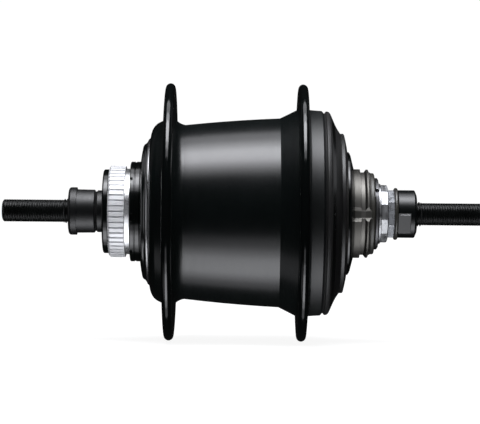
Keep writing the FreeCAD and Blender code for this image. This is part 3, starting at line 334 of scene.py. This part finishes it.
def rings_to_mesh(xs, radii, angles):
    """Closed mesh from rings: radii[i][k] at xs[i] and angles[k]."""
    n = len(angles)
    ca, sa = np.cos(angles), np.sin(angles)
    verts, faces = [], []
    for x, rr in zip(xs, radii):
        for k in range(n):
            verts.append((x * MM, rr[k] * ca[k] * MM, rr[k] * sa[k] * MM))
    for i in range(len(xs) - 1):
        for k in range(n):
            a, b = i * n + k, i * n + (k + 1) % n
            faces.append((a, a + n, b + n, b) if True else ())
    c0 = len(verts)
    verts.append((xs[0] * MM, 0, 0))
    verts.append((xs[-1] * MM, 0, 0))
    last = (len(xs) - 1) * n
    for k in range(n):
        faces.append((c0, k, (k + 1) % n))
        faces.append((c0 + 1, last + (k + 1) % n, last + k))
    return verts, faces


# ------------------------------------------------------- threaded axle ends
THREAD_R = 4.7625
PITCH = 25.4 / 26.0
DEPTH = 0.5413 * PITCH
FLAT = 4.30
SEG = 120
ANG = np.linspace(0.0, 2.0 * math.pi, SEG, endpoint=False)


def thread_radius(x):
    """Radius of a 60 degree right-hand thread at x, for all angles."""
    t = (x / PITCH - ANG / (2.0 * math.pi)) % 1.0
    d = np.abs(t - 0.5) * 2.0            # 1 at the crest, 0 at the root
    g = np.clip((d - 0.22) / (0.86 - 0.22), 0.0, 1.0)
    return THREAD_R - DEPTH * (1.0 - g)


def axle_end(name, sign):
    x_end, x_in, flat_in = 93.5, 67.2, 69.4
    step = PITCH / 10.0
    xs, radii = [], []
    stops = list(np.arange(x_in, x_end, step)) + [x_end]
    for x in stops:
        rr = thread_radius(sign * x)
        d = x_end - x
        round_r = 2.1
        if d < round_r:
            lim = THREAD_R - round_r + math.sqrt(max(0.0, round_r ** 2 - (round_r - d) ** 2))
            rr = np.minimum(rr, lim)
        if x < 67.9:
            rr = np.minimum(rr, 4.25 + (x - x_in) * 0.75)
        if x > flat_in:
            with np.errstate(divide="ignore"):
                f = FLAT / np.maximum(np.abs(np.sin(ANG)), 1e-6)
            if not radii or stops[stops.index(x) - 1] <= flat_in:
                xs.append(sign * x)
                radii.append(rr.copy())
            rr = np.minimum(rr, f)
        xs.append(sign * x)
        radii.append(rr)
    if sign < 0:
        xs, radii = xs[::-1], radii[::-1]
    v, f = rings_to_mesh(xs, radii, ANG)
    ob = mesh_object(name, v, f, "axle_black", "root")
    return ob


axle_left = axle_end("axle_thread_left", -1)
axle_right = axle_end("axle_thread_right", 1)

# the rest of the axle is the CAD piece without its plain ends
bm = bmesh.new()
bm.from_mesh(nodes["axle"].data)
bmesh.ops.remove_doubles(bm, verts=bm.verts, dist=1e-7)
for sx in (-1, 1):
    geom = list(bm.verts) + list(bm.edges) + list(bm.faces)
    cut = bmesh.ops.bisect_plane(bm, geom=geom, dist=1e-7, plane_co=(sx * 67.2 * MM, 0, 0), plane_no=(sx, 0, 0),
                                 clear_outer=True)
    edges = [e for e in cut["geom_cut"] if isinstance(e, bmesh.types.BMEdge)]
    bmesh.ops.holes_fill(bm, edges=edges)
me = bpy.data.meshes.new("axle_body")
bm.to_mesh(me)
bm.free()
axle_body = bpy.data.objects.new("axle_body", me)
scene.collection.objects.link(axle_body)
me.materials.append(M["axle_black"])
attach(axle_body, "root")
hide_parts("axle")

# the spring is a copy of the CAD coil that rides on the clutch body
coil = bpy.data.objects.new("clutch_spring_coil", nodes["clutch_spring"].data.copy())
scene.collection.objects.link(coil)
coil.data.materials.clear()
coil.data.materials.append(M[slot_of["clutch_spring"]])
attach(coil, "clutch")
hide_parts("clutch_spring")
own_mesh(coil)

# ------------------------------------------------------------------ stage
FLOOR_Z = -50.35 * MM


def emission(name, colour, strength):
    m = bpy.data.materials.new(name)
    m.use_nodes = True
    t = m.node_tree
    t.nodes.clear()
    out = t.nodes.new("ShaderNodeOutputMaterial")
    e = t.nodes.new("ShaderNodeEmission")
    e.inputs["Color"].default_value = (*colour, 1.0)
    e.inputs["Strength"].default_value = strength
    t.links.new(e.outputs[0], out.inputs["Surface"])
    return m


bm = bmesh.new()
bmesh.ops.create_icosphere(bm, subdivisions=5, radius=8.0)
me = bpy.data.meshes.new("backdrop")
bm.to_mesh(me)
bm.free()
backdrop = bpy.data.objects.new("backdrop", me)
scene.collection.objects.link(backdrop)
me.materials.append(emission("backdrop_white", (1.0, 1.0, 1.0), 1.02))
for flag in ("visible_diffuse", "visible_glossy", "visible_transmission", "visible_volume_scatter", "visible_shadow"):
    setattr(backdrop, flag, False)

bm = bmesh.new()
bmesh.ops.create_grid(bm, x_segments=4, y_segments=4, size=7.5)
me = bpy.data.meshes.new("floor")
bm.to_mesh(me)
bm.free()
floor = bpy.data.objects.new("floor", me)
scene.collection.objects.link(floor)
floor.location = (0, 0, FLOOR_Z)
nf = Nodes("floor_pale")
nf.bsdf.inputs["Roughness"].default_value = 0.9
nf.bsdf.inputs["Specular IOR Level"].default_value = 0.0
nf.link(nf.mix(nf.noise(6.0, 3.0), (0.16, 0.16, 0.16), (0.17, 0.17, 0.17)), nf.bsdf.inputs["Base Color"])
length = nf.node("ShaderNodeVectorMath", operation="LENGTH")
nf.link(nf.coord, length.inputs[0])
glow = nf.ramp(length.outputs["Value"], 0.12, 0.9, 0.92, 1.05, smooth=True)
nf.bsdf.inputs["Emission Color"].default_value = (1, 1, 1, 1)
nf.link(glow, nf.bsdf.inputs["Emission Strength"])
me.materials.append(nf.mat)
for flag in ("visible_diffuse", "visible_glossy", "visible_transmission", "visible_shadow"):
    setattr(floor, flag, False)

# ------------------------------------------------------------------ lights
world = bpy.data.worlds.new("world")
scene.world = world
world.use_nodes = True
bg = world.node_tree.nodes.get("Background") or world.node_tree.nodes.new("ShaderNodeBackground")
bg.inputs["Color"].default_value = (1.0, 1.0, 1.0, 1.0)
bg.inputs["Strength"].default_value = 0.006


def area(name, centre, target, size_x, size_y, radiance, colour=(0.945, 0.957, 1.0), up=(1, 0, 0)):
    """A rectangular light whose own brightness is radiance. size_x runs along up."""
    ld = bpy.data.lights.new(name, "AREA")
    ld.shape = "RECTANGLE"
    ld.size = size_x
    ld.size_y = size_y
    ld.energy = 1.035 * radiance * math.pi * size_x * size_y
    ld.color = colour
    ob = bpy.data.objects.new(name, ld)
    scene.collection.objects.link(ob)
    c, t = Vector(centre), Vector(target)
    z = (c - t).normalized()
    x = Vector(up)
    x = (x - z * x.dot(z)).normalized()
    y = z.cross(x)
    m = Matrix((x, y, z)).transposed().to_4x4()
    m.translation = c
    ob.matrix_world = m
    ob.visible_camera = False
    return ob


def polar_box(name, azimuth, elevation, dist, size_x, size_y, radiance, up=(1, 0, 0), **kw):
    """A light at azimuth (0 is towards the camera, 90 to the right) and elevation, aimed at the object."""
    a, e = math.radians(azimuth), math.radians(elevation)
    c = Vector((math.sin(a) * math.cos(e), -math.cos(a) * math.cos(e), math.sin(e))) * dist
    return area(name, c, (0, 0, 0), size_x, size_y, radiance, up=up, **kw)


def span(deg, dist=0.70):
    """Length of a light that spans deg at dist."""
    return 2.0 * dist * math.tan(math.radians(deg / 2.0))


# top softbox: three panels, one behind the other, so that its light falls off gently
polar_box("top_wide", 0, 81, 0.66, 0.59, span(66, 0.66), 2.1)
polar_box("top_mid", 0, 76, 0.70, 0.62, span(40, 0.70), 3.4)
polar_box("top_core", 0, 75, 0.74, 0.65, span(22, 0.74), 5.6)
# lower softbox, wider and weaker
polar_box("low_wide", 0, -68, 0.66, 0.45, span(75, 0.66), 0.8)
polar_box("low_mid", 0, -68.5, 0.70, 0.48, span(47, 0.70), 1.5)
polar_box("low_core", 0, -69, 0.74, 0.50, span(28, 0.74), 2.0)

# cards that only some of the pieces see
def only_for(lights, slots=(), names=(), more=()):
    seen = bpy.data.collections.new("seen_by_" + lights[0].name)
    for name, ob in nodes.items():
        if slot_of.get(name) in slots or name in names:
            seen.objects.link(ob)
    for ob in more:
        seen.objects.link(ob)
    for ob in lights:
        ob.light_linking.receiver_collection = seen


# boxes at both sides and large weak panels behind them, which light the ends of the hub
all_but_shell = [k for k in M if k != "shell_black"]
only_for([polar_box("left_box", -92, 0, 0.95, 0.50, 0.40, 0.6, up=(0, 0, 1)),
          polar_box("right_box", 92, 0, 0.96, 0.50, 0.40, 0.12, up=(0, 0, 1)),
          polar_box("end_panel_right", 130, 20, 1.10, 0.60, 0.60, 0.25, up=(0, 0, 1)),
          polar_box("end_panel_left", -130, 20, 1.10, 0.60, 0.60, 0.35, up=(0, 0, 1))],
         all_but_shell, more=(axle_left, axle_right, axle_body))
only_for([polar_box("shell_panel_right", 130, 20, 1.12, 0.60, 0.60, 0.1, up=(0, 0, 1)),
          polar_box("shell_panel_left", -130, 20, 1.12, 0.60, 0.60, 0.04, up=(0, 0, 1))], ("shell_black",))
only_for([polar_box("front_card", -8, 18, 1.10, 0.80, 0.70, 0.55),
          polar_box("front_low_card", 0, -25, 1.10, 0.80, 0.30, 1.1)], ("driver_grey", "shift_dark", "blue_zinc"))
only_for([polar_box("zinc_card", -8, 18, 1.12, 0.80, 0.70, 0.3),
          polar_box("zinc_low_card", 0, -25, 1.12, 0.80, 0.30, 1.2)], ("zinc",))
only_for([polar_box("pale_card", -6, 50, 1.12, 0.80, span(24, 1.12), 0.3),
          polar_box("pale_mid_card", 0, 6, 1.13, 0.80, span(30, 1.13), 0.12),
          polar_box("pale_low_card", 0, -30, 1.12, 0.80, span(30, 1.12), 1.0)], ("bright_aluminium",))
only_for([polar_box("cover_low_card", -99, -35, 0.97, 0.40, 0.50, 2.6),
          polar_box("cover_high_card", -112, 38, 0.98, 0.40, 0.50, 0.7),
          polar_box("cover_mid_card", -95, 0, 0.99, 0.40, 0.40, 0.5)], names=("left_cover",))
only_for([polar_box("cone_low_card", -77, -47, 0.90, 0.40, 0.40, 0.42)], names=("hub_shell",))
only_for([polar_box("end_card_right", 126, 12, 1.15, 0.60, 0.70, 2.2, up=(0, 0, 1))],
         ("driver_grey", "shift_dark", "blue_zinc", "zinc"))
only_for([polar_box("hex_high_card", 180, 62, 1.00, 0.50, 0.40, 0.08),
          polar_box("hex_low_card", 180, -56, 1.00, 0.50, 0.40, 0.7)], names=("right_lock_nut",))
